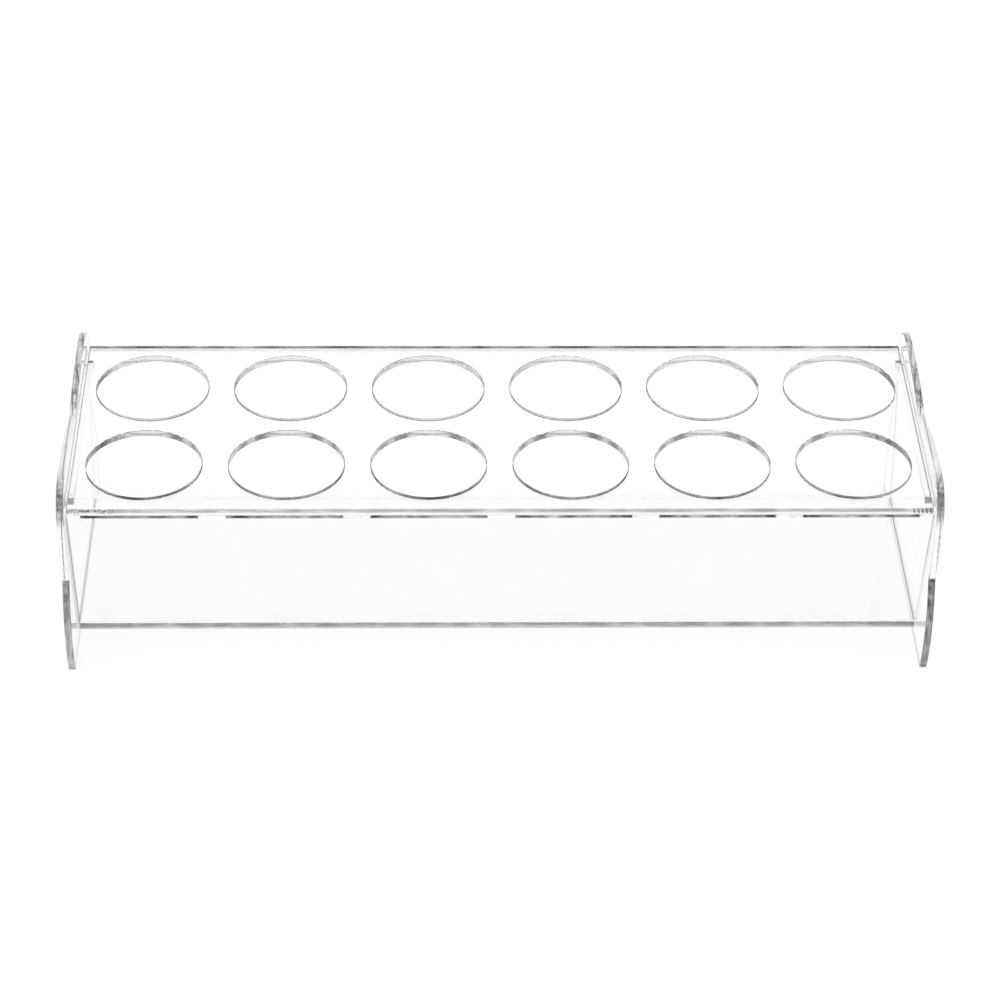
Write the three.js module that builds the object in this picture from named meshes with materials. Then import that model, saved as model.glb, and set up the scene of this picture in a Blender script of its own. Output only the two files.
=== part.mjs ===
// A clear acrylic vase: a long trough between two shaped end plates, under a loose lid with two rows of
// round stem holes. Millimetres, +Z up, +X along the trough, the front towards -Y. The origin lies on the
// table, under the middle of the trough.
import * as THREE from "three";

// Every piece is cut from the same clear sheet.
const SHEET_THICKNESS = 2.5;

// Stem holes: how many, how wide, and the sheet left between them and around them
const HOLES_PER_ROW = 6;
const ROW_COUNT = 2;
const HOLE_DIAMETER = 40.6;
const HOLE_WEB = 9.4;
const ROW_WEB = 7.4;
const LID_END_BORDER = 4.7;
const LID_SIDE_BORDER = 6.7;

// Lid: the height of its upper face, and its gap to each end plate
const LID_TOP_HEIGHT = 68;
const LID_END_CLEARANCE = 0.5;

// Trough: how far each long wall leans outwards, its gap under the lid, and the gap under the bottom
const WALL_LEAN_RUN = 13;
const WALL_TOP_CLEARANCE = 0.5;
const FLOOR_CLEARANCE = 5;

// Ledges under the lid's ends, which carry it
const LEDGE_HEIGHT = 3;
const LEDGE_INSET = 8;

// End plate outline, which is made of convex arcs that meet in a notch at the top and a waist at each side
const CREST_RISE = 9;
const CREST_INSET = 16;
const CREST_RADIUS = 155;
const LOBE_OVERHANG = 4.5;
const LOBE_RADIUS = 13;
const FLANK_RADIUS = 120;
const WAIST_HEIGHT = 38.3;
const FOOT_OVERHANG = 4;
const FOOT_RADIUS = 52;

// Steps on each arc of an outline, and on each half of a stem hole
const OUTLINE_SEGMENTS = 8;
const HOLE_SEGMENTS = 24;

const holePitch = HOLE_DIAMETER + HOLE_WEB;
const rowPitch = HOLE_DIAMETER + ROW_WEB;
const lidLength = (HOLES_PER_ROW - 1) * holePitch + HOLE_DIAMETER + 2 * LID_END_BORDER;
const lidDepth = (ROW_COUNT - 1) * rowPitch + HOLE_DIAMETER + 2 * LID_SIDE_BORDER;
const lidBottomHeight = LID_TOP_HEIGHT - SHEET_THICKNESS;
const lidHalfDepth = lidDepth / 2;
const troughLength = lidLength + 2 * LID_END_CLEARANCE;
const wallTopHeight = lidBottomHeight - WALL_TOP_CLEARANCE;
const floorHalfDepth = lidHalfDepth - WALL_LEAN_RUN;
const floorTopHeight = FLOOR_CLEARANCE + SHEET_THICKNESS;

const acrylic = {
  color: 0xeef3f4,
  roughness: 0.05,
  metalness: 0,
  transparent: true,
  opacity: 0.3,
};

// Each piece has a material of its own, so that one can be tinted without the others.
function piece(name, geometry, x, y, z) {
  const mesh = new THREE.Mesh(geometry, new THREE.MeshStandardMaterial(acrylic));
  mesh.name = name;
  mesh.position.set(x, y, z);
  return mesh;
}

// A shape drawn as depth across and height up, pushed along the trough and centred on its middle.
function extrudeAlongTrough(shape, length, curveSegments = 1) {
  const geometry = new THREE.ExtrudeGeometry(shape, { depth: length, bevelEnabled: false, curveSegments });
  geometry.translate(0, 0, -length / 2);
  const across = new THREE.Vector3(0, 1, 0);
  const up = new THREE.Vector3(0, 0, 1);
  const along = new THREE.Vector3(1, 0, 0);
  return geometry.applyMatrix4(new THREE.Matrix4().makeBasis(across, up, along));
}

// The centre of the arc that runs anticlockwise from one point to another with a given radius.
function arcCentre(from, to, radius) {
  const half = to.clone().sub(from).multiplyScalar(0.5);
  const reach = Math.sqrt(radius * radius - half.lengthSq());
  const inwards = new THREE.Vector2(-half.y, half.x).normalize().multiplyScalar(reach);
  return from.clone().add(half).add(inwards);
}

// The back half of an end plate's outline, from the foot's corner up to the notch, as anticlockwise arcs.
function backHalfArcs() {
  const lobeTip = lidHalfDepth + LOBE_OVERHANG;
  const crest = new THREE.Vector2(lobeTip - CREST_INSET, LID_TOP_HEIGHT + CREST_RISE);
  const crestCentre = new THREE.Vector2(crest.x, crest.y - CREST_RADIUS);
  const lobeOffset = CREST_INSET - LOBE_RADIUS;
  const lobeDrop = Math.sqrt((CREST_RADIUS - LOBE_RADIUS) ** 2 - lobeOffset ** 2);
  const lobeCentre = new THREE.Vector2(crest.x + lobeOffset, crestCentre.y + lobeDrop);
  const shoulder = lobeCentre.clone().sub(crestCentre).setLength(CREST_RADIUS).add(crestCentre);
  const notchDrop = CREST_RADIUS - Math.sqrt(CREST_RADIUS ** 2 - crest.x ** 2);
  const notch = new THREE.Vector2(0, crest.y - notchDrop);

  const flankTop = new THREE.Vector2(lobeTip, lobeCentre.y);
  const flankCentre = new THREE.Vector2(lobeTip - FLANK_RADIUS, lobeCentre.y);
  const flankFall = lobeCentre.y - WAIST_HEIGHT;
  const waistReach = Math.sqrt(FLANK_RADIUS ** 2 - flankFall ** 2);
  const waist = new THREE.Vector2(flankCentre.x + waistReach, WAIST_HEIGHT);

  const footCorner = new THREE.Vector2(lidHalfDepth + FOOT_OVERHANG, 0);
  const footCentre = arcCentre(footCorner, waist, FOOT_RADIUS);
  return [
    { centre: footCentre, radius: FOOT_RADIUS, from: footCorner, to: waist },
    { centre: flankCentre, radius: FLANK_RADIUS, from: waist, to: flankTop },
    { centre: lobeCentre, radius: LOBE_RADIUS, from: flankTop, to: shoulder },
    { centre: crestCentre, radius: CREST_RADIUS, from: shoulder, to: notch },
  ];
}

function endPlateShape() {
  const arcs = backHalfArcs();
  const footCorner = arcs[0].from;
  const shape = new THREE.Shape();
  shape.moveTo(-footCorner.x, footCorner.y);
  shape.lineTo(footCorner.x, footCorner.y);
  for (const { centre, radius, from, to } of arcs) {
    const start = from.clone().sub(centre).angle();
    const end = to.clone().sub(centre).angle();
    shape.absarc(centre.x, centre.y, radius, start, end, false);
  }
  // The front half is the back half mirrored, from the notch down to the foot.
  for (const { centre, radius, from, to } of arcs.reverse()) {
    const start = Math.PI - to.clone().sub(centre).angle();
    const end = Math.PI - from.clone().sub(centre).angle();
    shape.absarc(-centre.x, centre.y, radius, start, end, false);
  }
  return shape;
}

// An end plate closes the trough at one end and stands on the table. side is -1 at the left, 1 at the right.
function endPlate(name, side) {
  const geometry = extrudeAlongTrough(endPlateShape(), SHEET_THICKNESS, OUTLINE_SEGMENTS);
  return piece(name, geometry, (side * (troughLength + SHEET_THICKNESS)) / 2, 0, 0);
}

// A long wall stands on the bottom panel and leans outwards to the lid's edge. side is -1 at the front, 1 at
// the back.
function longWall(name, side) {
  const height = wallTopHeight - floorTopHeight;
  const slope = Math.hypot(height, WALL_LEAN_RUN) / height;
  const level = SHEET_THICKNESS * slope;
  const section = [
    [floorHalfDepth, floorTopHeight],
    [lidHalfDepth, wallTopHeight],
    [lidHalfDepth - level, wallTopHeight],
    [floorHalfDepth - level, floorTopHeight],
  ];
  const shape = new THREE.Shape(section.map(([y, z]) => new THREE.Vector2(side * y, z)));
  return piece(name, extrudeAlongTrough(shape, troughLength), 0, 0, 0);
}

function bottomPanel() {
  const geometry = new THREE.BoxGeometry(troughLength, 2 * floorHalfDepth, SHEET_THICKNESS);
  return piece("bottom_panel", geometry, 0, 0, FLOOR_CLEARANCE + SHEET_THICKNESS / 2);
}

// The lid lies loose on the ledges, with a little room at each end and above the walls.
function holePlate() {
  const halfLength = lidLength / 2;
  const shape = new THREE.Shape([
    new THREE.Vector2(-halfLength, -lidHalfDepth),
    new THREE.Vector2(halfLength, -lidHalfDepth),
    new THREE.Vector2(halfLength, lidHalfDepth),
    new THREE.Vector2(-halfLength, lidHalfDepth),
  ]);
  for (let row = 0; row < ROW_COUNT; row += 1) {
    for (let column = 0; column < HOLES_PER_ROW; column += 1) {
      const x = (column - (HOLES_PER_ROW - 1) / 2) * holePitch;
      const y = (row - (ROW_COUNT - 1) / 2) * rowPitch;
      const hole = new THREE.Path();
      hole.absarc(x, y, HOLE_DIAMETER / 2, 0, 2 * Math.PI, true);
      shape.holes.push(hole);
    }
  }
  const sheet = { depth: SHEET_THICKNESS, bevelEnabled: false, curveSegments: HOLE_SEGMENTS };
  return piece("hole_plate", new THREE.ExtrudeGeometry(shape, sheet), 0, 0, lidBottomHeight);
}

// A ledge is a strip on the inner face of an end plate, under the lid's end.
function plateLedge(name, side) {
  const geometry = new THREE.BoxGeometry(SHEET_THICKNESS, lidDepth - 2 * LEDGE_INSET, LEDGE_HEIGHT);
  const x = (side * (troughLength - SHEET_THICKNESS)) / 2;
  return piece(name, geometry, x, 0, lidBottomHeight - LEDGE_HEIGHT / 2);
}

const vase = new THREE.Group();
vase.add(endPlate("end_plate_left", -1), endPlate("end_plate_right", 1));
vase.add(longWall("front_panel", -1), longWall("back_panel", 1), bottomPanel());
vase.add(plateLedge("plate_ledge_left", -1), plateLedge("plate_ledge_right", 1));
vase.add(holePlate());

export default vase;
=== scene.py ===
"""Clear acrylic trough vase with a pierced lid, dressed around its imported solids. Metres, +Z up, +X along
the trough, the front towards -Y."""

import math

import bmesh
import bpy
from bpy.props import FloatProperty, FloatVectorProperty, IntProperty, PointerProperty
from bpy.types import Operator, Panel, PropertyGroup
from mathutils import Matrix, Vector


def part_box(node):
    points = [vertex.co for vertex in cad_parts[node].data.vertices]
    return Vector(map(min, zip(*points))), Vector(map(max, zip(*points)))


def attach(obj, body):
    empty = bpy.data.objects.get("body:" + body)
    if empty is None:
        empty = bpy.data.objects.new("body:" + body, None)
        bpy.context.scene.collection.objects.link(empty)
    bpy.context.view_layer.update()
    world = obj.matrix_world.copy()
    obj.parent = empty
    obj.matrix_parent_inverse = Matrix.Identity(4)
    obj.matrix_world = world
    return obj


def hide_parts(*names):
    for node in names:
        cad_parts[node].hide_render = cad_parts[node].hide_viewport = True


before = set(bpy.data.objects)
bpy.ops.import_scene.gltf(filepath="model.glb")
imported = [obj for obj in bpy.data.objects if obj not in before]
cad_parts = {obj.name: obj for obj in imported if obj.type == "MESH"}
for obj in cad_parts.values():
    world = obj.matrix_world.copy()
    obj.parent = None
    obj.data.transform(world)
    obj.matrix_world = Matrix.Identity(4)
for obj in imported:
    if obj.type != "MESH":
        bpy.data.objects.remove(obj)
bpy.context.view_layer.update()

bl_info = {
    "name": "Acrylic Stem Vase",
    "version": (1, 0, 0),
    "blender": (4, 5, 0),
    "location": "3D View > Sidebar > Stem Vase",
    "description": "Dresses a clear acrylic trough vase with a pierced lid",
    "category": "Object",
}

MM = 0.001
LID_LOW, LID_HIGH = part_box("hole_plate")
BOTTOM_LOW, BOTTOM_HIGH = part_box("bottom_panel")
LID_CENTRE = (LID_LOW + LID_HIGH) / 2

LENGTHWAYS = Vector((1, 0, 0))
UPRIGHT = Vector((0, 0, 1))


# Settings


def length_property(name, description, millimetres):
    """A size that the user types in scene units, given here in millimetres."""
    return FloatProperty(
        name=name, description=description, default=millimetres * MM, precision=4, unit="LENGTH"
    )


def colour_property(name, description, colour):
    return FloatVectorProperty(
        name=name, description=description, default=colour, size=4, min=0, max=1, subtype="COLOR"
    )


def share_property(name, description, share):
    return FloatProperty(name=name, description=description, default=share, min=0, max=1, subtype="FACTOR")


def count_property(name, description, count, least=1):
    return IntProperty(name=name, description=description, default=count, min=least)


class SheetSettings(PropertyGroup):
    """How every sheet of the vase is cut and joined."""

    arris: length_property("Arris", "Width of the small chamfer along every cut edge", 0.2)
    joint_gap: length_property("Joint gap", "Film of cement between two sheets", 0.06)


class EndPlateSettings(PropertyGroup):
    """The outline of an end plate, which is made of convex arcs."""

    crest_rise: length_property("Crest rise", "Highest point above the lid", 9)
    crest_inset: length_property("Crest inset", "Crest's distance in from the lobe's tip", 16)
    crest_radius: length_property("Crest radius", "Radius of the long arc along the top", 155)
    lobe_overhang: length_property("Lobe overhang", "How far the lobe passes the lid's edge", 4.5)
    lobe_radius: length_property("Lobe radius", "Radius of the upper corner", 13)
    flank_radius: length_property("Flank radius", "Radius of the side above the waist", 120)
    waist_height: length_property("Waist height", "Height of the low point in the side", 38.3)
    foot_overhang: length_property("Foot overhang", "How far the foot's corner passes the lid's edge", 4)
    foot_radius: length_property("Foot radius", "Radius of the side below the waist", 52)
    arc_steps: count_property("Arc steps", "Straight steps on each arc of the outline", 24, least=4)


class LidSettings(PropertyGroup):
    """The rows of stem holes in the lid."""

    columns: count_property("Columns", "Stem holes in each row", 6)
    rows: count_property("Rows", "Rows of stem holes", 2)
    hole_diameter: length_property("Hole diameter", "Width of a stem hole", 40.6)
    column_pitch: length_property("Column pitch", "From one hole to the next along a row", 50)
    row_pitch: length_property("Row pitch", "From one row to the next", 48)
    hole_steps: count_property("Hole steps", "Straight steps round each stem hole", 96, least=12)


class FinishSettings(PropertyGroup):
    """How clear the sheet is on its polished faces and on its cut edges."""

    sheet_colour: colour_property("Sheet colour", "Tint of the polished faces", (0.998, 0.999, 0.999, 1))
    edge_tint: colour_property("Edge tint", "Tint of the lightest cut edge", (0.98, 0.99, 1, 1))
    # Painted shade: the dark colour laid over what an edge would mirror inside the sheet.
    dark_reflection_tint: colour_property(
        "Held tint", "Colour of an edge that holds light back", (0.02, 0.021, 0.022, 1)
    )
    smear_roughness: share_property("Smear roughness", "Roughness of a handled place on a face", 0.02)
    edge_roughness: share_property("Edge roughness", "Roughness of the dullest streak on a cut edge", 0.05)


class StageSettings(PropertyGroup):
    """The floor, the room and its lamps."""

    floor_colour: colour_property("Floor colour", "Colour of the plain floor", (0.9, 0.9, 0.9, 1))
    floor_glow: share_property("Floor glow", "Share of the seen floor's white that no shadow takes", 0.92)
    room_light: share_property("Room light", "Strength of the light from all round", 1)
    lamp_power: FloatProperty(
        name="Lamp power", description="Power of each soft lamp", default=3, min=0, unit="POWER"
    )


# Node helpers

SOCKETS = {
    "number": "NodeSocketFloat",
    "count": "NodeSocketInt",
    "colour": "NodeSocketColor",
    "vector": "NodeSocketVector",
    "material": "NodeSocketMaterial",
    "shape": "NodeSocketGeometry",
}


def add_node(tree, kind, inputs=None, **settings):
    """Adds a node. Each input, by name or place, gets a plain value or a link from another node's socket."""
    node = tree.nodes.new(kind)
    for name, value in settings.items():
        setattr(node, name, value)
    for name, value in (inputs or {}).items():
        if isinstance(value, bpy.types.NodeSocket):
            tree.links.new(value, node.inputs[name])
        else:
            node.inputs[name].default_value = value
    return node


def calculate(tree, operation, *values, clamp=False):
    node = add_node(tree, "ShaderNodeMath", dict(enumerate(values)), operation=operation, use_clamp=clamp)
    return node.outputs[0]


def spread(tree, value, low, high, to_low=0, to_high=1):
    """Takes the range from low to high onto another range, and holds it there."""
    ends = {"From Min": low, "From Max": high, "To Min": to_low, "To Max": to_high}
    return add_node(tree, "ShaderNodeMapRange", {"Value": value, **ends}).outputs["Result"]


def by_side(tree, value, negative, positive):
    """One number where a value is under nought, and another where it is over nought."""
    return spread(tree, value, -MM, MM, negative, positive)


def blend(tree, share, first, second):
    """A colour that goes from first to second with the share."""
    return add_node(tree, "ShaderNodeMix", {0: share, 6: first, 7: second}, data_type="RGBA").outputs[2]


def stretched(tree, vector, factors):
    """A place times a factor on each axis. A factor under 1 draws a pattern out along that axis."""
    return add_node(tree, "ShaderNodeVectorMath", {0: vector, 1: factors}, operation="MULTIPLY").outputs[0]


def noise(tree, vector, scale, detail=3):
    node = add_node(tree, "ShaderNodeTexNoise", {"Vector": vector, "Scale": scale, "Detail": detail})
    return node.outputs["Fac"]


def grey(share):
    return (share, share, share, 1)


def tone_ramp(tree, value, stops):
    """A grey that follows a value through stops, each a place from 0 to 1 and a share of light."""
    node = add_node(tree, "ShaderNodeValToRGB", {"Fac": value})
    elements = node.color_ramp.elements
    for place, share in stops[1:-1]:
        elements.new(place).color = grey(share)
    for element, (place, share) in ((elements[0], stops[0]), (elements[-1], stops[-1])):
        element.position = place
        element.color = grey(share)
    return node.outputs["Color"]


def mix_shaders(tree, share, first, second):
    """A surface that goes from first to second with the share."""
    return add_node(tree, "ShaderNodeMixShader", {0: share, 1: first, 2: second}).outputs[0]


def new_group(name, inputs, outputs, kind="ShaderNodeTree"):
    """An empty node group with these named sockets: the tree, and what it is given."""
    tree = bpy.data.node_groups.new(name, kind)
    for way, titles in (("INPUT", inputs), ("OUTPUT", outputs)):
        for title, socket in titles.items():
            tree.interface.new_socket(name=title, in_out=way, socket_type=SOCKETS[socket])
    return tree, add_node(tree, "NodeGroupInput").outputs


def put_out(tree, values):
    add_node(tree, "NodeGroupOutput", values)
    return tree


def add_group(tree, name, make, inputs):
    """Places a shader group in a material, and builds the group the first time."""
    group = bpy.data.node_groups.get(name) or make(name)
    return add_node(tree, "ShaderNodeGroup", inputs, node_tree=group).outputs


def new_material(name):
    material = bpy.data.materials.new(name)
    material.use_nodes = True
    material.node_tree.nodes.clear()
    return material


# Finishes

ACRYLIC_INDEX = 1.49
# Index of the dark surface that paints shade over what an edge would mirror.
DARK_REFLECTION_INDEX = 1.3
MATT_ROUGHNESS = 0.5
ARRIS_ROUGHNESS = 0.3

# How deep the marks in a surface are, and how strongly they bend its light
FACE_MARK_DEPTH = 0.01 * MM
FACE_MARK_STRENGTH = 0.1
EDGE_MARK_DEPTH = 0.02 * MM
EDGE_MARK_STRENGTH = 0.3

# How fine each pattern is, as its repeats in a metre
SMEAR_SCALE = 14
SCUFF_SCALE = 45
# Patches of painted shade over what a cut edge would mirror.
DARK_REFLECTION_PATCH_SCALE = 80
# Breaks up the painted shade dashes along the front wall's top.
SHADE_DASH_BREAKUP_SCALE = 160
HAIRLINE_SCALE = 900
STREAK_SCALE = 900
SCRATCH_SCALE = 1100

# A pattern is drawn out along one axis, which on a cut edge is the way through the sheet.
ALONG_X = (0.1, 1, 1)
ALONG_Y = (1, 0.1, 1)
ALONG_Z = (1, 1, 0.1)
HAIRLINES_ALONG_X = (0.04, 1, 1)


def handling_marks(name):
    """Soft smears, which dull a polished face, and hairlines along the sheet, which barely bend its light."""
    inputs = {
        "Vector": "vector",
        "Smear Scale": "number",
        "Hairline Scale": "number",
        "Most Roughness": "number",
    }
    tree, given = new_group(name, inputs, {"Roughness": "number", "Height": "number"})
    smears = noise(tree, given["Vector"], given["Smear Scale"])
    roughness = spread(tree, smears, 0.45, 0.7, 0, given["Most Roughness"])
    along_sheet = stretched(tree, given["Vector"], HAIRLINES_ALONG_X)
    hairlines = noise(tree, along_sheet, given["Hairline Scale"], detail=2)
    return put_out(tree, {"Roughness": roughness, "Height": spread(tree, hairlines, 0.6, 0.7)})


def cut_streaks(name):
    """Streaks and patches that a saw and a polishing wheel leave on a cut edge.

    Tone is the share of light that the edge lets through, which carries the painted shade in the tones it is
    given. Variation is how far the streaks take the rest up and down.
    """
    inputs = {
        "Vector": "vector",
        "Stretch": "vector",
        "Streak Scale": "number",
        "Patch Scale": "number",
        "Patch Share": "number",
        "Tone": "number",
        "Variation": "number",
        "Tint": "colour",
        "Most Roughness": "number",
    }
    tree, given = new_group(name, inputs, {"Colour": "colour", "Roughness": "number", "Height": "number"})
    drawn_out = stretched(tree, given["Vector"], given["Stretch"])
    streaks = noise(tree, drawn_out, given["Streak Scale"], detail=4)
    patches = noise(tree, given["Vector"], given["Patch Scale"])
    parts = {0: given["Patch Share"], 2: streaks, 3: patches}
    pattern = add_node(tree, "ShaderNodeMix", parts, data_type="FLOAT").outputs[0]
    mask = spread(tree, pattern, 0.4, 0.6)
    swing = calculate(tree, "MULTIPLY", spread(tree, mask, 0, 1, 1, -1), given["Variation"])
    lost = calculate(tree, "SUBTRACT", 1, given["Tone"])
    share = calculate(tree, "SUBTRACT", 1, calculate(tree, "MULTIPLY_ADD", lost, swing, lost), clamp=True)
    colour = blend(tree, calculate(tree, "MULTIPLY", share, share), grey(0), given["Tint"])
    least = calculate(tree, "MULTIPLY", given["Most Roughness"], 0.3)
    roughness = spread(tree, mask, 0, 1, given["Most Roughness"], least)
    return put_out(tree, {"Colour": colour, "Roughness": roughness, "Height": streaks})


def object_place(tree):
    """Where a point lies on the object, as a vector and as its three numbers."""
    vector = add_node(tree, "ShaderNodeTexCoord").outputs["Object"]
    split = add_node(tree, "ShaderNodeSeparateXYZ", {"Vector": vector}).outputs
    return {"Vector": vector, "X": split["X"], "Y": split["Y"], "Z": split["Z"]}


def at_place(tree, place, value):
    """A value that may be plain, or a function of the place on the object."""
    return value(tree, place) if callable(value) else value


def principled(tree, inputs):
    return add_node(tree, "ShaderNodeBsdfPrincipled", inputs).outputs["BSDF"]


def clear_sheet(tree, colour, roughness, height, depth, strength):
    """Clear sheet, with marks of this height pattern, depth and strength in its surface."""
    bump = add_node(tree, "ShaderNodeBump", {"Strength": strength, "Distance": depth, "Height": height})
    inputs = {
        "Base Color": colour,
        "Transmission Weight": 1,
        "IOR": ACRYLIC_INDEX,
        "Roughness": roughness,
        "Normal": bump.outputs["Normal"],
    }
    return principled(tree, inputs)


def polished_face(name, finish, colour=None):
    """A clear face. colour may be a function of the place on it, instead of the same all over."""
    material = new_material(name)
    tree = material.node_tree
    place = object_place(tree)
    inputs = {
        "Vector": place["Vector"],
        "Smear Scale": SMEAR_SCALE,
        "Hairline Scale": HAIRLINE_SCALE,
        "Most Roughness": finish.smear_roughness,
    }
    marks = add_group(tree, "handling_marks", handling_marks, inputs)
    tint = colour(tree, place, finish) if colour else finish.sheet_colour
    surface = clear_sheet(
        tree, tint, marks["Roughness"], marks["Height"], FACE_MARK_DEPTH, FACE_MARK_STRENGTH
    )
    add_node(tree, "ShaderNodeOutputMaterial", {"Surface": surface})
    return material


def edge_streaks(tree, finish, place, tone, variation, stretch=(1, 1, 1), patches=(110, 0.5)):
    """The streaks of one cut edge. patches gives the scale of its patches and their share in the pattern."""
    inputs = {
        "Vector": place["Vector"],
        "Stretch": at_place(tree, place, stretch),
        "Streak Scale": STREAK_SCALE,
        "Patch Scale": patches[0],
        "Patch Share": patches[1],
        "Tone": at_place(tree, place, tone),
        "Variation": variation,
        "Tint": finish.edge_tint,
        "Most Roughness": finish.edge_roughness,
    }
    return add_group(tree, "cut_streaks", cut_streaks, inputs)


def paint_dark_reflection(tree, finish, place, surface, inside, dark_reflection):
    """Paints shade, in patches, over a share of the light that an edge would mirror inside the sheet."""
    dark = {"Base Color": finish.dark_reflection_tint, "Roughness": MATT_ROUGHNESS, "IOR": DARK_REFLECTION_INDEX}
    mirrored = add_node(tree, "ShaderNodeFresnel", {"IOR": ACRYLIC_INDEX}).outputs["Fac"]
    patches = noise(tree, place["Vector"], DARK_REFLECTION_PATCH_SCALE, detail=4)
    most = calculate(tree, "MULTIPLY", spread(tree, patches, 0.38, 0.62, 0.45, 1), dark_reflection)
    share = calculate(tree, "MULTIPLY", calculate(tree, "MULTIPLY", mirrored, inside), most)
    return mix_shaders(tree, share, surface, principled(tree, dark))


def frost_outside(tree, surface, inside, opaque, colour):
    """Makes an edge opaque by a share, where it is looked at from outside."""
    matt = principled(tree, {"Base Color": colour, "Roughness": MATT_ROUGHNESS})
    share = calculate(tree, "MULTIPLY", calculate(tree, "SUBTRACT", 1, inside), opaque)
    return mix_shaders(tree, share, surface, matt)


def cut_edge(name, finish, tone, dark_reflection=0, frost=0, dullness=None, **streaking):
    """A cut edge, seen as clear sheet.

    The dark reflection share is how much of the light that would be mirrored inside is painted over with
    shade, and frost is how opaque the edge is when it is looked at from outside. dullness is its roughness,
    if that doesn't follow its streaks.
    """
    material = new_material(name)
    tree = material.node_tree
    place = object_place(tree)
    streaks = edge_streaks(tree, finish, place, tone, **streaking)
    opaque = at_place(tree, place, frost)
    colour = blend(tree, opaque, streaks["Colour"], finish.edge_tint)
    roughness = at_place(tree, place, dullness) if dullness else streaks["Roughness"]
    surface = clear_sheet(tree, colour, roughness, streaks["Height"], EDGE_MARK_DEPTH, EDGE_MARK_STRENGTH)
    inside = add_node(tree, "ShaderNodeNewGeometry").outputs["Backfacing"]
    if dark_reflection:
        surface = paint_dark_reflection(tree, finish, place, surface, inside, at_place(tree, place, dark_reflection))
    if frost:
        surface = frost_outside(tree, surface, inside, opaque, streaks["Colour"])
    add_node(tree, "ShaderNodeOutputMaterial", {"Surface": surface})
    return material


def arris(name, finish, tone, **streaking):
    """The chamfer that breaks a sharp edge, shown as a hairline in opaque grey, which is painted shade."""
    material = new_material(name)
    tree = material.node_tree
    streaks = edge_streaks(tree, finish, object_place(tree), tone, **streaking)
    surface = principled(tree, {"Base Color": streaks["Colour"], "Roughness": ARRIS_ROUGHNESS})
    add_node(tree, "ShaderNodeOutputMaterial", {"Surface": surface})
    return material


def along(axis, low, high, *stops):
    """A value that follows stops along one axis of the object, from a low to a high place on it."""
    return lambda tree, place: tone_ramp(tree, spread(tree, place[axis], low, high), stops)


def up_to_waist(*stops):
    """A value that follows stops up an end plate's side, from the floor to just above its waist."""

    def follow(tree, place):
        top = bpy.context.scene.vase_end_plate.waist_height + 0.25 * MM
        return tone_ramp(tree, spread(tree, place["Z"], 0, top), stops)

    return follow


# How light an end plate's edge is, along the top from its front to its back, and up its side from the floor,
# where the tone changes sharply at the waist. This is painted shade, and on the sawn foot it is partly real
# frost too.
CREST_TONE = along(
    "Y",
    -60 * MM,
    60 * MM,
    (0, 0.43),
    (0.1, 0.43),
    (0.14, 0.9),
    (0.2, 1),
    (0.45, 1),
    (0.52, 0.86),
    (0.55, 0.62),
    (0.7, 0.66),
    (0.74, 0.82),
    (0.85, 0.79),
    (1, 0.81),
)
SIDE_TONE = up_to_waist(
    (0, 0.9),
    (0.006, 0.9),
    (0.011, 0.58),
    (0.49, 0.54),
    (0.9, 0.47),
    (0.987, 0.42),
    (1, 1),
)
FOOT_FROST = up_to_waist((0, 0), (0.006, 0), (0.011, 1), (0.987, 1), (1, 0))


def plate_stretch(tree, place):
    """Streaks run through the sheet on a plate's polished edge, and along the edge on its sawn foot."""
    return blend(tree, FOOT_FROST(tree, place), (*ALONG_X, 1), (*ALONG_Z, 1))


def plate_tone(tree, place):
    """The sawn foot is greyer on the right plate than on the left, and the top is scuffed here and there."""
    at_top = spread(tree, place["Z"], LID_HIGH.z - 5.5 * MM, LID_HIGH.z + 0.5 * MM)
    tone = blend(tree, at_top, SIDE_TONE(tree, place), CREST_TONE(tree, place))
    scuffs = spread(tree, noise(tree, place["Vector"], SCUFF_SCALE), 0.58, 0.7, 0, 0.12)
    sides = by_side(tree, place["X"], -0.06, 0.05)
    foot = calculate(tree, "MULTIPLY", FOOT_FROST(tree, place), sides)
    return calculate(tree, "SUBTRACT", tone, calculate(tree, "MULTIPLY_ADD", scuffs, at_top, foot))


def plate_arris_tone(tree, place):
    return calculate(tree, "MULTIPLY", plate_tone(tree, place), 0.88)


def nearest_hole(name):
    """How far a point lies, along one axis, from the nearest of a centred row of holes, in hole radii."""
    inputs = {"Along": "number", "Count": "number", "Pitch": "number", "Hole Radius": "number"}
    tree, given = new_group(name, inputs, {"Offset": "number"})
    shift = calculate(tree, "MULTIPLY_ADD", given["Count"], 0.5, -0.5)
    place = calculate(tree, "ADD", calculate(tree, "DIVIDE", given["Along"], given["Pitch"]), shift)
    apart = calculate(tree, "SUBTRACT", place, calculate(tree, "ROUND", place))
    distance = calculate(tree, "MULTIPLY", apart, given["Pitch"])
    return put_out(tree, {"Offset": calculate(tree, "DIVIDE", distance, given["Hole Radius"])})


def hole_offset(tree, value, count, pitch):
    radius = bpy.context.scene.vase_lid.hole_diameter / 2
    inputs = {"Along": value, "Count": count, "Pitch": pitch, "Hole Radius": radius}
    return add_group(tree, "nearest_hole", nearest_hole, inputs)["Offset"]


def column_offset(tree, place):
    """How far a point is from the middle of the nearest column of holes, to either side, in hole radii."""
    lid = bpy.context.scene.vase_lid
    return calculate(tree, "ABSOLUTE", hole_offset(tree, place["X"], lid.columns, lid.column_pitch))


def row_offset(tree, place):
    """How far a point is behind the middle of the nearest row of holes, in hole radii."""
    lid = bpy.context.scene.vase_lid
    return hole_offset(tree, place["Y"], lid.rows, lid.row_pitch)


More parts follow.
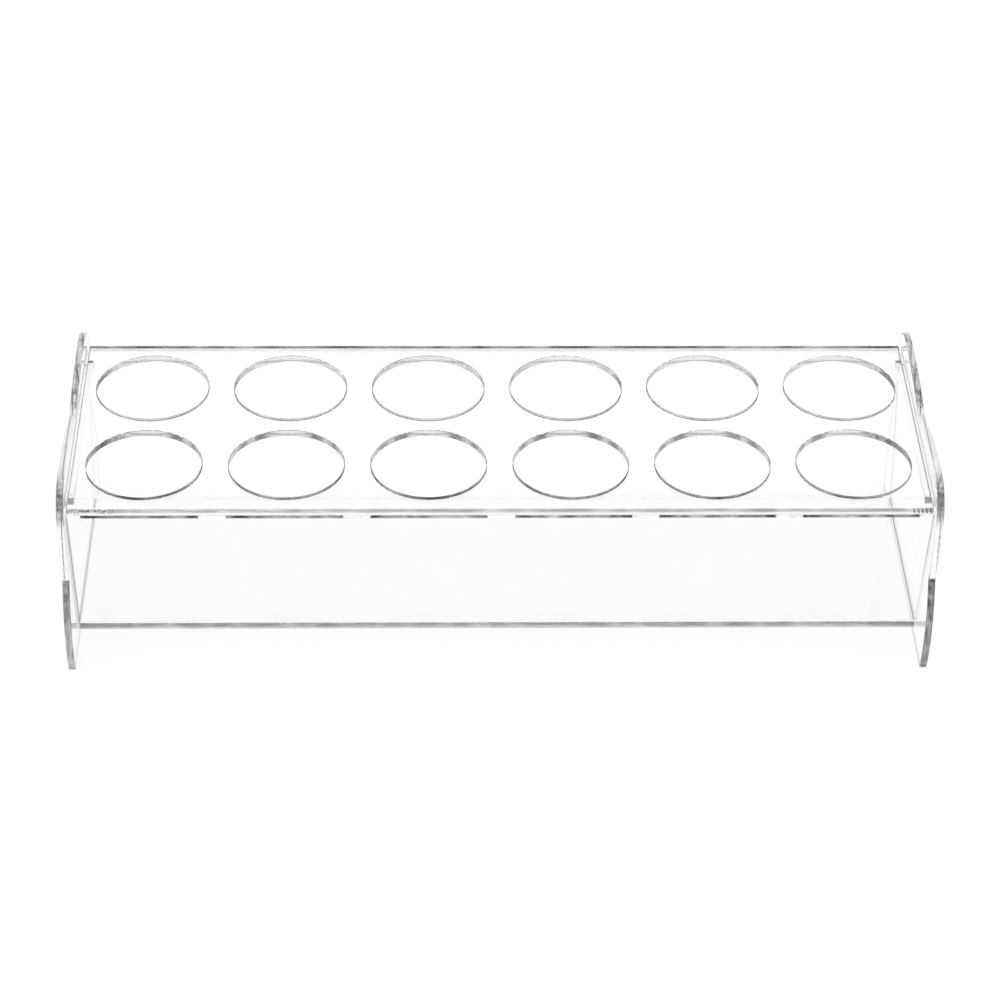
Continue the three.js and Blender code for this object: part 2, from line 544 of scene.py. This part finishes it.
# Painted shade: where a hole's radius lies on its dash's ramp, and the dash's tone from the hole's middle out
SHADE_DASH_END = 0.8
SHADE_DASH_STOPS = ((0, 0.34), (0.3, 0.4), (0.5, 0.3), (0.7, 0.12), (0.79, 0.12), (0.81, 1), (1, 1))


def painted_shade_dash(tree, place):
    """A painted shade dash as long as each hole is wide, darkest at its ends, and nothing between the holes.
    """
    return tone_ramp(tree, calculate(tree, "MULTIPLY", column_offset(tree, place), SHADE_DASH_END), SHADE_DASH_STOPS)


# The shade dashes are painted on this strip.
def under_lid_share(tree, place):
    """1 on the top strip of the front wall's outer face, just under the lid's edge, and 0 elsewhere."""
    high = spread(tree, place["Z"], LID_LOW.z - 2.3 * MM, LID_LOW.z - 1.7 * MM)
    outer = spread(tree, place["Y"], LID_LOW.y + 1.3 * MM, LID_LOW.y + 1.1 * MM)
    return calculate(tree, "MULTIPLY", high, outer)


CEMENT_TONE = along("X", LID_LOW.x, LID_LOW.x + 10 * MM, (0, 0.35), (0.02, 1), (1, 1))


def wall_face_colour(tree, place, finish):
    """Shade painted along the front wall's top under each stem hole, and the dark cement at its left end."""
    # Noise breaks up the painted shade dashes.
    shade_dash_breakup = spread(tree, noise(tree, place["Vector"], SHADE_DASH_BREAKUP_SCALE), 0.35, 0.65, -0.25, 0.25)
    share = calculate(tree, "ADD", painted_shade_dash(tree, place), shade_dash_breakup, clamp=True)
    dash = calculate(tree, "MULTIPLY", share, share)
    at_front = by_side(tree, place["Y"], 1, 0)
    clear = blend(tree, at_front, finish.sheet_colour, CEMENT_TONE(tree, place))
    return blend(tree, under_lid_share(tree, place), clear, dash)


# The shade dashes are painted on the wall's top arris too.
def wall_arris_tone(tree, place):
    return blend(tree, under_lid_share(tree, place), grey(0.99), painted_shade_dash(tree, place))


def wall_end_tone(tree, place):
    """A wall's ends are dulled by the cement, the back wall's less than the front wall's."""
    return by_side(tree, place["Y"], 0.9, 0.97)


BOTTOM_FRONT_TONE = along("Z", BOTTOM_LOW.z, BOTTOM_HIGH.z, (0, 0.84), (0.3, 0.74), (0.5, 0.56), (1, 0.56))


def at_bottom_end(tree, place):
    """1 on the bottom's two ends, which meet the end plates, and 0 between them."""
    reach = calculate(tree, "ABSOLUTE", place["X"])
    return spread(tree, reach, BOTTOM_HIGH.x - 0.6 * MM, BOTTOM_HIGH.x - 0.3 * MM)


def bottom_end_tone(tree, place):
    return by_side(tree, place["X"], 0.95, 0.84)


def bottom_tone(tree, place):
    ends = at_bottom_end(tree, place)
    return blend(tree, ends, BOTTOM_FRONT_TONE(tree, place), bottom_end_tone(tree, place))


def bottom_arris_tone(tree, place):
    return blend(tree, at_bottom_end(tree, place), grey(0.68), bottom_end_tone(tree, place))


# Painted shade over what the bottom's cut edges would mirror inside, weaker at its two ends.
def bottom_dark_reflection(tree, place):
    return spread(tree, at_bottom_end(tree, place), 0, 1, 0.3, 0.1)


def through_lid(*stops):
    """A value that follows stops through the lid's thickness, from its underside up."""
    return along("Z", LID_LOW.z, LID_HIGH.z, *stops)


RIM_TONE = through_lid((0, 0.99), (0.15, 0.99), (0.3, 0.8), (0.5, 0.7), (0.75, 0.7), (0.9, 0.85), (1, 0.9))
# Painted shade: the lid's outer arris grows darker towards its back.
RIM_ARRIS_TONE = along("Y", LID_LOW.y, LID_HIGH.y, (0, 0.92), (0.96, 0.85), (0.99, 0.4), (1, 0.4))
# Painted shade over what the lid's rim would mirror inside, strongest along its back.
RIM_DARK_REFLECTION = along("Y", 0.9 * LID_HIGH.y, LID_HIGH.y, (0, 0.1), (1, 0.95))
SAW_MARK_PITCH = 1.45 * MM
SAW_MARK_START = 142 * MM
SAW_MARK_LEAN = 0.25


def rim_tone(tree, place):
    """The lid's outer edge is greyest along its middle, with saw marks at its right end, and scratches at its
    left one."""
    lean = calculate(tree, "MULTIPLY_ADD", place["Z"], SAW_MARK_LEAN, place["X"])
    wave = calculate(tree, "SINE", calculate(tree, "MULTIPLY", lean, 2 * math.pi / SAW_MARK_PITCH))
    near_end = spread(tree, place["X"], SAW_MARK_START, SAW_MARK_START + MM)
    marks = calculate(tree, "MULTIPLY", spread(tree, wave, -0.2, 0.7, 0, 0.4), near_end)
    near_start = spread(tree, place["X"], LID_LOW.x + 12 * MM, LID_LOW.x + 20 * MM, 1, 0)
    scratches = noise(tree, place["Vector"], SCRATCH_SCALE, detail=1)
    scratches = spread(tree, scratches, 0.4, 0.6, -0.1, 0.2)
    marks = calculate(tree, "MULTIPLY_ADD", scratches, near_start, marks)
    return calculate(tree, "SUBTRACT", RIM_TONE(tree, place), marks)


def rim_dark_reflection(tree, place):
    """Painted shade on the lid's back edge and its ends, over the light that the sheet would mirror to its
    front.
    """
    at_end = spread(tree, calculate(tree, "ABSOLUTE", place["X"]), LID_HIGH.x - 0.4 * MM, LID_HIGH.x, 0, 0.6)
    return calculate(tree, "MAXIMUM", RIM_DARK_REFLECTION(tree, place), at_end)


BORE_TONE = through_lid((0, 0.7), (0.14, 0.97), (0.4, 0.97), (0.5, 0.8), (0.6, 0.97), (0.86, 0.97), (1, 0.7))
# Painted shade over what the holes' walls would mirror inside, strongest in the front quarter of the lid.
BORE_DARK_REFLECTION = along("Y", LID_LOW.y, LID_HIGH.y, (0, 1), (0.26, 1), (0.28, 0.42), (1, 0.42))
BORE_DULLNESS = through_lid((0, 0.3), (1, 0.32))


def bore_tone(tree, place):
    """A hole's wall is lined along its rims and its middle, and has painted shade at the hole's shoulders."""
    shoulders = spread(tree, column_offset(tree, place), 0.3, 0.7, 0, 0.14)
    return calculate(tree, "SUBTRACT", BORE_TONE(tree, place), shoulders)


# Painted shade on the holes' rims.
def hole_arris_tone(tree, place):
    """A hole's rims are darkest on the side towards the front, and lightest along the top at its back."""
    at_back = spread(tree, row_offset(tree, place), 0, 0.4)
    back_tone = spread(tree, place["Z"], LID_LOW.z, LID_HIGH.z, 0.6, 0.75)
    return blend(tree, at_back, grey(0.34), back_tone)


LEDGE_END_TONE = along("Y", LID_LOW.y, LID_HIGH.y, (0, 0.7), (0.4, 0.7), (0.6, 0.35), (1, 0.35))

# Each finish, by the function that makes it and what that is given; its dark reflection share is painted
# shade.
FINISHES = {
    "polished_face": (polished_face, {}),
    "plate_edge": (
        cut_edge,
        {
            "tone": plate_tone,
            "variation": 0.3,
            "stretch": plate_stretch,
            "patches": (110, 0.3),
            "frost": FOOT_FROST,
        },
    ),
    "plate_arris": (arris, {"tone": plate_arris_tone, "variation": 0.3}),
    "wall_face": (polished_face, {"colour": wall_face_colour}),
    "wall_end": (cut_edge, {"tone": wall_end_tone, "variation": 0.8, "stretch": ALONG_Y, "dark_reflection": 0.15}),
    "wall_edge": (cut_edge, {"tone": 0.995, "variation": 0.5, "stretch": ALONG_Y}),
    "wall_arris": (cut_edge, {"tone": wall_arris_tone, "variation": 0.2}),
    "ledge_end": (arris, {"tone": LEDGE_END_TONE, "variation": 0.4}),
    "bottom_edge": (
        cut_edge,
        {"tone": bottom_tone, "variation": 0.3, "stretch": ALONG_X, "dark_reflection": bottom_dark_reflection, "frost": 0.8},
    ),
    "bottom_arris": (arris, {"tone": bottom_arris_tone, "variation": 0.4}),
    "hole_wall": (
        cut_edge,
        {
            "tone": bore_tone,
            "variation": 0.6,
            "stretch": ALONG_Z,
            "patches": (50, 0.4),
            "dark_reflection": BORE_DARK_REFLECTION,
            "dullness": BORE_DULLNESS,
        },
    ),
    "hole_arris": (arris, {"tone": hole_arris_tone, "variation": 0.9, "patches": (70, 0.35)}),
    "lid_rim": (
        cut_edge,
        {"tone": rim_tone, "variation": 0.35, "stretch": ALONG_X, "dark_reflection": rim_dark_reflection, "frost": 1},
    ),
    "rim_arris": (arris, {"tone": RIM_ARRIS_TONE, "variation": 0.5, "patches": (60, 0.5)}),
}


def finishes(*names):
    """The materials of these names, each made the first time that it is asked for."""
    finish = bpy.context.scene.vase_finish
    found = []
    for name in names:
        make, values = FINISHES[name]
        found.append(bpy.data.materials.get(name) or make(name, finish, **values))
    return found


# Shapes

# An edge that turns by more than the first gets a chamfer. One that turns by less than the second is shaded
# as smooth.
SHARP_ANGLE = math.radians(50)
SMOOTH_ANGLE = math.radians(20)
CHAMFER_STEPS = 2
ROUND_PROFILE = 0.5

# How squarely a face looks along an axis, from 0 to 1, to count as facing it or as slanting towards it
FACING = 0.99
SLANTING = 0.3

WELD_DISTANCE = 0.01 * MM


def arc_points(centre, radius, start, end, steps):
    """Points from start to end, anticlockwise, round a centre in depth and height."""
    first = math.atan2(start[1] - centre[1], start[0] - centre[0])
    last = math.atan2(end[1] - centre[1], end[0] - centre[0])
    if last < first:
        last += 2 * math.pi
    angles = [first + (last - first) * i / steps for i in range(steps + 1)]
    return [(centre[0] + radius * math.cos(angle), centre[1] + radius * math.sin(angle)) for angle in angles]


def back_half_outline(plate):
    """The back half of an end plate, from the foot's corner up to the notch, as depth and height."""
    lid_edge = LID_HIGH.y
    tip = lid_edge + plate.lobe_overhang
    crest = (tip - plate.crest_inset, LID_HIGH.z + plate.crest_rise)
    crest_centre = (crest[0], crest[1] - plate.crest_radius)
    lobe_offset = plate.crest_inset - plate.lobe_radius
    lobe_drop = math.sqrt((plate.crest_radius - plate.lobe_radius) ** 2 - lobe_offset**2)
    lobe_centre = (crest[0] + lobe_offset, crest_centre[1] + lobe_drop)
    towards = Vector(lobe_centre) - Vector(crest_centre)
    shoulder = Vector(crest_centre) + towards.normalized() * plate.crest_radius
    notch = (0, crest_centre[1] + math.sqrt(plate.crest_radius**2 - crest[0] ** 2))
    flank_top = (tip, lobe_centre[1])
    flank_centre = (tip - plate.flank_radius, lobe_centre[1])
    fall = lobe_centre[1] - plate.waist_height
    waist = (flank_centre[0] + math.sqrt(plate.flank_radius**2 - fall**2), plate.waist_height)
    corner = (lid_edge + plate.foot_overhang, 0)
    half = (Vector(waist) - Vector(corner)) / 2
    reach = math.sqrt(plate.foot_radius**2 - half.length_squared)
    inwards = Vector((-half.y, half.x)).normalized() * reach
    foot_centre = Vector(corner) + half + inwards
    steps = plate.arc_steps
    points = arc_points(foot_centre, plate.foot_radius, corner, waist, steps)
    points += arc_points(flank_centre, plate.flank_radius, waist, flank_top, steps)[1:]
    points += arc_points(lobe_centre, plate.lobe_radius, flank_top, shoulder, steps)[1:]
    points += arc_points(crest_centre, plate.crest_radius, shoulder, notch, steps)[1:]
    return points


def end_plate_outline(plate):
    back = back_half_outline(plate)
    front = [(-depth, height) for depth, height in reversed(back[:-1])]
    return back + front


def rectangle(low, high):
    return [(low.y, low.z), (high.y, low.z), (high.y, high.z), (low.y, high.z)]


def wall_section(node, gap):
    """The four corners of a leaning wall's section, as depth and height, with a gap under it."""
    points = {(round(v.co.y, 6), round(v.co.z, 6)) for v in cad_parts[node].data.vertices}
    foot = min(height for _, height in points)
    head = max(height for _, height in points)
    feet = sorted(depth for depth, height in points if height == foot)
    heads = sorted(depth for depth, height in points if height == head)
    share = gap / (head - foot)
    lifted = [low + (high - low) * share for low, high in zip(feet, heads)]
    return [(lifted[0], foot + gap), (heads[0], head), (heads[1], head), (lifted[1], foot + gap)]


def prism(outline, low, high):
    """A solid with this outline, as depth and height, from low to high along the trough."""
    mesh = bmesh.new()
    near = [mesh.verts.new((low, depth, height)) for depth, height in outline]
    far = [mesh.verts.new((high, depth, height)) for depth, height in outline]
    mesh.faces.new(list(reversed(near)))
    mesh.faces.new(far)
    for i in range(len(outline)):
        j = (i + 1) % len(outline)
        mesh.faces.new((near[i], near[j], far[j], far[i]))
    bmesh.ops.recalc_face_normals(mesh, faces=mesh.faces)
    return mesh


def bevel_arrises(mesh, width):
    """Breaks every sharp edge of a solid with a small chamfer."""
    edges = [e for e in mesh.edges if len(e.link_faces) == 2 and e.calc_face_angle() > SHARP_ANGLE]
    bmesh.ops.bevel(
        mesh,
        geom=edges,
        offset=width,
        offset_type="OFFSET",
        segments=CHAMFER_STEPS,
        profile=ROUND_PROFILE,
        affect="EDGES",
    )


def add_object(name, data):
    added = bpy.data.objects.new(name, data)
    bpy.context.scene.collection.objects.link(added)
    return added


def add_mesh(name, mesh, materials):
    """An object of this mesh, which is used up, in these materials."""
    data = bpy.data.meshes.new(name)
    mesh.to_mesh(data)
    mesh.free()
    for material in materials:
        data.materials.append(material)
    return add_object(name, data)


POLISHED, CUT, CHAMFER, OTHER_CUT, OTHER_CHAMFER = range(5)


def surface_kind(face, sheet_axis, is_other):
    """Which of a sheet's surfaces a face belongs to, by how it stands to the sheet's axis."""
    squareness = abs(face.normal.dot(sheet_axis))
    other = bool(is_other and is_other(face))
    if squareness > FACING:
        return POLISHED
    if squareness > SLANTING:
        return OTHER_CHAMFER if other else CHAMFER
    return OTHER_CUT if other else CUT


def sheet_piece(name, mesh, sheet_axis, materials, is_other=None):
    """Makes a piece of a solid, with its polished faces, cut edges and chamfers in their own materials.

    is_other picks the cut edges that get the fourth material, and the chamfers that get the fifth.
    """
    bevel_arrises(mesh, bpy.context.scene.vase_sheet.arris)
    mesh.normal_update()
    for face in mesh.faces:
        kind = surface_kind(face, sheet_axis, is_other)
        face.material_index = kind
        face.smooth = kind != POLISHED
    for edge in mesh.edges:
        edge.smooth = edge.calc_face_angle() < SMOOTH_ANGLE
    return add_mesh(name, mesh, materials)


def place_on(piece, body, node):
    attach(piece, body)
    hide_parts(node)


def faces_plate(face):
    """Whether a face is an end of a wall, which meets an end plate."""
    return abs(face.normal.x) > FACING


def faces_along(face):
    """Whether a face is an end of a ledge, which looks to the front or the back."""
    return abs(face.normal.y) > FACING


def inside_rim(face):
    """Whether a face of the lid stands well inside its outer edge, as the wall of a hole does."""
    centre = face.calc_center_median()
    return abs(centre.x) < LID_HIGH.x - MM and abs(centre.y) < LID_HIGH.y - MM


class VASE_OT_end_plates(Operator):
    """Makes the two shaped end plates."""

    bl_idname = "vase.end_plates"
    bl_label = "End Plates"

    def execute(self, context):
        outline = end_plate_outline(context.scene.vase_end_plate)
        materials = finishes("polished_face", "plate_edge", "plate_arris")
        for side in ("left", "right"):
            low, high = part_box(f"end_plate_{side}")
            mesh = prism(outline, low.x, high.x)
            piece = sheet_piece(f"{side}_end_plate", mesh, LENGTHWAYS, materials)
            place_on(piece, "vase", f"end_plate_{side}")
        return {"FINISHED"}


class VASE_OT_trough(Operator):
    """Makes the two leaning walls and the bottom of the trough."""

    bl_idname = "vase.trough"
    bl_label = "Trough"

    def execute(self, context):
        gap = context.scene.vase_sheet.joint_gap
        materials = finishes("wall_face", "wall_edge", "wall_arris", "wall_end")
        for name in ("front", "back"):
            low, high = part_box(f"{name}_panel")
            corners = wall_section(f"{name}_panel", gap)
            mesh = prism(corners, low.x + gap, high.x - gap)
            foot, head = corners[:2]
            rise = Vector((0, head[0] - foot[0], head[1] - foot[1]))
            axis = rise.cross(LENGTHWAYS).normalized()
            piece = sheet_piece(f"{name}_wall", mesh, axis, materials, faces_plate)
            place_on(piece, "vase", f"{name}_panel")
        materials = finishes("polished_face", "bottom_edge", "bottom_arris")
        mesh = prism(rectangle(BOTTOM_LOW, BOTTOM_HIGH), BOTTOM_LOW.x + gap, BOTTOM_HIGH.x - gap)
        piece = sheet_piece("trough_bottom", mesh, UPRIGHT, materials)
        place_on(piece, "vase", "bottom_panel")
        return {"FINISHED"}


class VASE_OT_ledges(Operator):
    """Makes the two ledges that carry the lid."""

    bl_idname = "vase.ledges"
    bl_label = "Ledges"

    def execute(self, context):
        gap = context.scene.vase_sheet.joint_gap
        materials = finishes("polished_face", "wall_edge", "wall_edge", "ledge_end")
        for name in ("left", "right"):
            low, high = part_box(f"plate_ledge_{name}")
            if name == "left":
                low.x += gap
            else:
                high.x -= gap
            high.z -= gap
            mesh = prism(rectangle(low, high), low.x, high.x)
            piece = sheet_piece(f"{name}_ledge", mesh, LENGTHWAYS, materials, faces_along)
            place_on(piece, "vase", f"plate_ledge_{name}")
        return {"FINISHED"}


LID_INPUTS = {
    "Length": "number",
    "Depth": "number",
    "Thickness": "number",
    "Underside": "number",
    "Columns": "count",
    "Rows": "count",
    "Column Pitch": "number",
    "Row Pitch": "number",
    "Hole Diameter": "number",
    "Hole Steps": "count",
    "Sheet Material": "material",
}


def row_span(tree, count, pitch):
    """From the first to the last of a row of points."""
    return calculate(tree, "MULTIPLY", calculate(tree, "SUBTRACT", count, 1), pitch)


def hole_circles(tree, given):
    """A circle at every stem hole's place, as curves."""
    places = {
        "Size X": row_span(tree, given["Columns"], given["Column Pitch"]),
        "Size Y": row_span(tree, given["Rows"], given["Row Pitch"]),
        "Vertices X": given["Columns"],
        "Vertices Y": given["Rows"],
    }
    grid = add_node(tree, "GeometryNodeMeshGrid", places).outputs["Mesh"]
    radius = calculate(tree, "MULTIPLY", given["Hole Diameter"], 0.5)
    size = {"Resolution": given["Hole Steps"], "Radius": radius}
    hole = add_node(tree, "GeometryNodeCurvePrimitiveCircle", size).outputs["Curve"]
    holes = add_node(tree, "GeometryNodeInstanceOnPoints", {"Points": grid, "Instance": hole})
    realized = add_node(tree, "GeometryNodeRealizeInstances", {"Geometry": holes.outputs["Instances"]})
    return realized.outputs["Geometry"]


def joined(tree, *parts):
    node = add_node(tree, "GeometryNodeJoinGeometry")
    for part in parts:
        tree.links.new(part, node.inputs["Geometry"])
    return node.outputs["Geometry"]


def lid_tree():
    """A level sheet with rows of round holes, from its sizes."""
    tree, given = new_group("pierced_lid", LID_INPUTS, {"Geometry": "shape"}, "GeometryNodeTree")
    size = {"Width": given["Length"], "Height": given["Depth"]}
    sheet = add_node(tree, "GeometryNodeCurvePrimitiveQuadrilateral", size).outputs["Curve"]
    outline = joined(tree, sheet, hole_circles(tree, given))
    face = add_node(tree, "GeometryNodeFillCurve", {"Curve": outline}).outputs["Mesh"]
    push = {"Mesh": face, "Offset Scale": given["Thickness"], "Individual": False}
    raised = add_node(tree, "GeometryNodeExtrudeMesh", push, mode="FACES").outputs["Mesh"]
    under = add_node(tree, "GeometryNodeFlipFaces", {"Mesh": face}).outputs["Mesh"]
    both = {"Geometry": joined(tree, raised, under), "Distance": WELD_DISTANCE}
    welded = add_node(tree, "GeometryNodeMergeByDistance", both).outputs["Geometry"]
    lift = add_node(tree, "ShaderNodeCombineXYZ", {"Z": given["Underside"]}).outputs["Vector"]
    placed = add_node(tree, "GeometryNodeTransform", {"Geometry": welded, "Translation": lift})
    whole = add_node(tree, "GeometryNodeRealizeInstances", {"Geometry": placed.outputs["Geometry"]})
    dress = {"Geometry": whole.outputs["Geometry"], "Material": given["Sheet Material"]}
    dressed = add_node(tree, "GeometryNodeSetMaterial", dress).outputs["Geometry"]
    return put_out(tree, {"Geometry": dressed})


def shape_from_tree(name, tree, values):
    """The plain mesh that a geometry tree gives with these values for its named inputs."""
    host = add_object(name, bpy.data.meshes.new(name))
    modifier = host.modifiers.new("Shape", "NODES")
    modifier.node_group = tree
    for item in tree.interface.items_tree:
        if item.in_out == "INPUT":
            modifier[item.identifier] = values[item.name]
    evaluated = host.evaluated_get(bpy.context.evaluated_depsgraph_get())
    shape = bpy.data.meshes.new_from_object(evaluated)
    bpy.data.objects.remove(host)
    if not shape.polygons:
        raise RuntimeError(f"{name}: its geometry tree made no faces")
    return shape


class VASE_OT_lid(Operator):
    """Makes the lid with its rows of stem holes."""

    bl_idname = "vase.lid"
    bl_label = "Pierced Lid"

    def execute(self, context):
        lid = context.scene.vase_lid
        materials = finishes("polished_face", "lid_rim", "rim_arris", "hole_wall", "hole_arris")
        size = LID_HIGH - LID_LOW
        values = {
            "Length": size.x,
            "Depth": size.y,
            "Thickness": size.z,
            "Underside": LID_LOW.z,
            "Columns": lid.columns,
            "Rows": lid.rows,
            "Column Pitch": lid.column_pitch,
            "Row Pitch": lid.row_pitch,
            "Hole Diameter": lid.hole_diameter,
            "Hole Steps": lid.hole_steps,
            "Sheet Material": materials[0],
        }
        shape = shape_from_tree("stem_lid", lid_tree(), values)
        mesh = bmesh.new()
        mesh.from_mesh(shape)
        bpy.data.meshes.remove(shape)
        bmesh.ops.recalc_face_normals(mesh, faces=mesh.faces)
        piece = sheet_piece("stem_lid", mesh, UPRIGHT, materials, inside_rim)
        place_on(piece, "lid", "hole_plate")
        return {"FINISHED"}


# Stage

# The seen floor's glow and its lit share add up to this, which is a little over white.
FLOOR_WHITE = 1.02
FLOOR_RADIUS = 12
FLOOR_STEPS = 64
FLOOR_DROP = 0.05 * MM

LAMPS = {"soft_lamp_left": (-0.9, -0.6, 1.2), "soft_lamp_right": (0.9, 0.5, 1.2)}
LAMP_WIDTH = 0.8
LIGHT_BOUNCES = 32

# The camera as solved from the lid: its place, its lens in millimetres, and in degrees how far it is turned
# to the left, looks down and is rolled
CAMERA_PLACE = (-0.0294, -0.9440, 0.7221)
SENSOR_WIDTH = 36
LENS_LENGTH = 115.35
NEAREST_SEEN = 0.01
CAMERA_TURN = -1.86
CAMERA_LOOKS_DOWN = 36.07
CAMERA_ROLL = 1.02


def seen_by_eye(tree):
    """1 where the camera sees the surface itself, in a gloss or through glass, and 0 where it only lights."""
    path = add_node(tree, "ShaderNodeLightPath").outputs
    through = calculate(tree, "ADD", path["Is Glossy Ray"], path["Is Transmission Ray"], clamp=True)
    return calculate(tree, "ADD", path["Is Camera Ray"], through, clamp=True)


def make_floor(stage):
    """A pale floor, which glows where it is seen, so that it is white and still keeps a soft shadow."""
    material = new_material("plain_floor")
    tree = material.node_tree
    lit = add_node(tree, "ShaderNodeBsdfDiffuse", {"Color": stage.floor_colour}).outputs["BSDF"]
    shadowed = add_node(tree, "ShaderNodeBsdfDiffuse", {"Color": grey(FLOOR_WHITE - stage.floor_glow)})
    glow = add_node(tree, "ShaderNodeEmission", {"Strength": stage.floor_glow})
    both = {0: shadowed.outputs["BSDF"], 1: glow.outputs["Emission"]}
    seen = add_node(tree, "ShaderNodeAddShader", both).outputs["Shader"]
    surface = mix_shaders(tree, seen_by_eye(tree), lit, seen)
    add_node(tree, "ShaderNodeOutputMaterial", {"Surface": surface})
    mesh = bmesh.new()
    bmesh.ops.create_circle(mesh, cap_ends=True, segments=FLOOR_STEPS, radius=FLOOR_RADIUS)
    floor = add_mesh("studio_floor", mesh, [material])
    floor.location.z = -FLOOR_DROP


def make_room(stage):
    world = bpy.data.worlds.new("studio_room")
    bpy.context.scene.world = world
    world.use_nodes = True
    tree = world.node_tree
    tree.nodes.clear()
    strength = spread(tree, seen_by_eye(tree), 0, 1, stage.room_light, 1)
    light = add_node(tree, "ShaderNodeBackground", {"Color": grey(1), "Strength": strength})
    add_node(tree, "ShaderNodeOutputWorld", {"Surface": light.outputs["Background"]})


def make_lamp(name, place, power):
    """A round soft lamp that looks at the middle of the lid."""
    lamp = bpy.data.lights.new(name, "AREA")
    lamp.shape = "DISK"
    lamp.size = LAMP_WIDTH
    lamp.energy = power
    fitting = add_object(name, lamp)
    fitting.location = place
    fitting.rotation_euler = (LID_CENTRE - Vector(place)).to_track_quat("-Z", "Y").to_euler()


def make_camera():
    lens = bpy.data.cameras.new("view_from_front")
    lens.sensor_width = SENSOR_WIDTH
    lens.lens = LENS_LENGTH
    lens.clip_start = NEAREST_SEEN
    turn = Matrix.Rotation(math.radians(CAMERA_TURN), 4, "Z")
    tip = Matrix.Rotation(math.radians(90 - CAMERA_LOOKS_DOWN), 4, "X")
    roll = Matrix.Rotation(math.radians(CAMERA_ROLL), 4, "Z")
    camera = add_object("view_from_front", lens)
    camera.matrix_world = Matrix.Translation(CAMERA_PLACE) @ turn @ tip @ roll
    bpy.context.scene.camera = camera


class VASE_OT_stage(Operator):
    """Makes the floor, the room, the lamps and the camera."""

    bl_idname = "vase.stage"
    bl_label = "Stage"

    def execute(self, context):
        scene = context.scene
        stage = scene.vase_stage
        scene.view_settings.view_transform = "Standard"
        for limit in ("max", "transmission", "glossy", "transparent_max"):
            setattr(scene.cycles, f"{limit}_bounces", LIGHT_BOUNCES)
        make_floor(stage)
        make_room(stage)
        for name, place in LAMPS.items():
            make_lamp(name, place, stage.lamp_power)
        make_camera()
        return {"FINISHED"}


class VASE_PT_panel(Panel):
    """Lists the steps that dress the vase."""

    bl_idname = "VASE_PT_panel"
    bl_label = "Stem Vase"
    bl_space_type = "VIEW_3D"
    bl_region_type = "UI"
    bl_category = "Stem Vase"

    def draw(self, context):
        for operator in OPERATORS:
            self.layout.operator(operator.bl_idname)


SETTINGS = {
    "vase_sheet": SheetSettings,
    "vase_end_plate": EndPlateSettings,
    "vase_lid": LidSettings,
    "vase_finish": FinishSettings,
    "vase_stage": StageSettings,
}
OPERATORS = (VASE_OT_end_plates, VASE_OT_trough, VASE_OT_ledges, VASE_OT_lid, VASE_OT_stage)


def register():
    for name, settings in SETTINGS.items():
        bpy.utils.register_class(settings)
        setattr(bpy.types.Scene, name, PointerProperty(type=settings))
    for operator in OPERATORS:
        bpy.utils.register_class(operator)
    bpy.utils.register_class(VASE_PT_panel)


def unregister():
    bpy.utils.unregister_class(VASE_PT_panel)
    for operator in reversed(OPERATORS):
        bpy.utils.unregister_class(operator)
    for name, settings in reversed(SETTINGS.items()):
        delattr(bpy.types.Scene, name)
        bpy.utils.unregister_class(settings)


def main():
    register()
    bpy.ops.vase.end_plates()
    bpy.ops.vase.trough()
    bpy.ops.vase.ledges()
    bpy.ops.vase.lid()
    bpy.ops.vase.stage()


if __name__ == "__main__":
    main()
